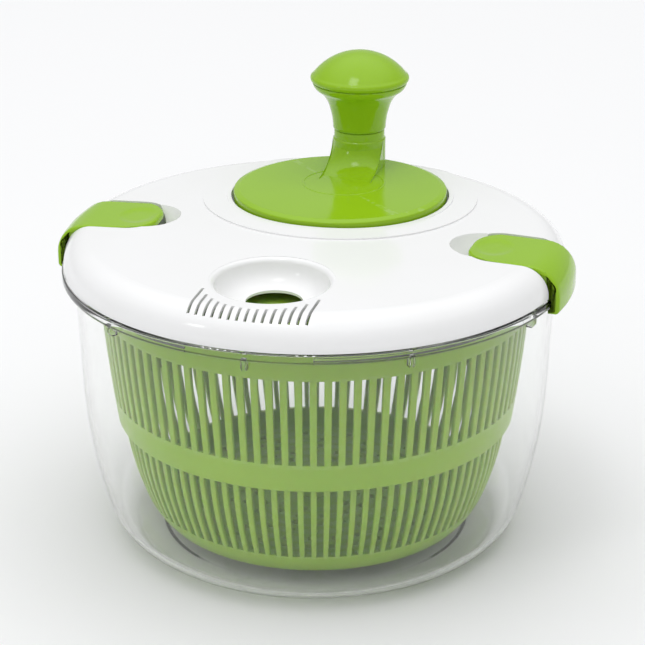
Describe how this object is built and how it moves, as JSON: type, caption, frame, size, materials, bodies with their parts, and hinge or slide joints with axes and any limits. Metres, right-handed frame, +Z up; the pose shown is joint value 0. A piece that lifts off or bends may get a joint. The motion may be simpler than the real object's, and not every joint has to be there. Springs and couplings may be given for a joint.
{
  "type": "salad spinner",
  "caption": "Round clear bowl with a slotted green basket inside and a white lid that carries a crank disc with a knob, side latches, a funnel and pouring slots.",
  "frame": {"origin": "centre of the bowl's foot, on the surface that it stands on", "axes": "+Z up along the axis of the bowl and the basket; the two latches lie 3.3 degrees off +X and -X, towards -Y; the funnel and the pouring slots are towards -Y and the crank towards +Y"},
  "size_m": [0.2596, 0.252, 0.2264],
  "materials": {
    "clear_plastic": "clear moulded plastic, polished",
    "green_satin": "moulded polypropylene, satin",
    "green_gloss": "moulded plastic, polished",
    "white_gloss": "moulded plastic, polished",
    "acetal": "natural acetal, moulded",
    "steel": "stainless, turned",
    "spring_wire": "drawn stainless wire"
  },
  "bodies": {
    "bowl": {"bowl": "clear_plastic"},
    "lid": {"lid_shell": "white_gloss", "lid_liner": "clear_plastic", "liner_screws": "steel", "crank_bushing": "acetal", "drive_bushing": "acetal", "right_latch_pin": "steel", "right_latch_spring": "spring_wire", "left_latch_pin": "steel", "left_latch_spring": "spring_wire"},
    "crank": {"crank_disc": "green_gloss", "crank_gear": "acetal", "crank_washer": "steel", "crank_screw": "steel", "knob_spindle": "steel"},
    "knob": {"knob_grip": "green_gloss", "knob_cap": "green_gloss"},
    "drive": {"drive_pinion": "acetal", "drive_plate": "green_satin", "drive_screw": "steel"},
    "pivot_bush": {"basket_pivot_bush": "acetal"},
    "basket": {"basket": "green_satin"},
    "right_latch": {"right_latch": "green_gloss"},
    "left_latch": {"left_latch": "green_gloss"}
  },
  "joints": [
    {"name": "lid_lift", "type": "slide", "parent": "bowl", "child": "lid", "axis": [0, 0, 1], "range_m": [0, 0.3]},
    {"name": "crank_spin", "type": "hinge", "parent": "lid", "child": "crank", "pos_m": [0, 0.0495, 0.1566], "axis": [0, 0, 1], "continuous": true},
    {"name": "knob_spin", "type": "hinge", "parent": "crank", "child": "knob", "pos_m": [0, 0.09, 0.19], "axis": [0, 0, 1], "continuous": true},
    {"name": "drive_spin", "type": "hinge", "parent": "lid", "child": "drive", "pos_m": [0, 0, 0.1431], "axis": [0, 0, 1], "continuous": true},
    {"name": "basket_lift", "type": "slide", "parent": "bowl", "child": "pivot_bush", "axis": [0, 0, 1], "range_m": [0, 0.15]},
    {"name": "basket_spin", "type": "hinge", "parent": "pivot_bush", "child": "basket", "pos_m": [0, 0, 0.019], "axis": [0, 0, 1], "continuous": true},
    {"name": "right_latch_press", "type": "hinge", "parent": "lid", "child": "right_latch", "pos_m": [0.1178, -0.00679, 0.151], "axis": [-0.0576, -0.9983, 0], "range_deg": [0, 10], "stiffness_Nm_per_rad": 0.8, "springref_deg": -3.44},
    {"name": "left_latch_press", "type": "hinge", "parent": "lid", "child": "left_latch", "pos_m": [-0.1178, -0.00679, 0.151], "axis": [-0.0576, 0.9983, 0], "range_deg": [0, 10], "stiffness_Nm_per_rad": 0.8, "springref_deg": -3.44}
  ],
  "couplings": [
    {"joint": "basket_lift", "follows": "lid_lift", "ratio": 0.5},
    {"joint": "drive_spin", "follows": "basket_spin", "ratio": 1},
    {"joint": "crank_spin", "follows": "basket_spin", "ratio": -0.375}
  ]
}
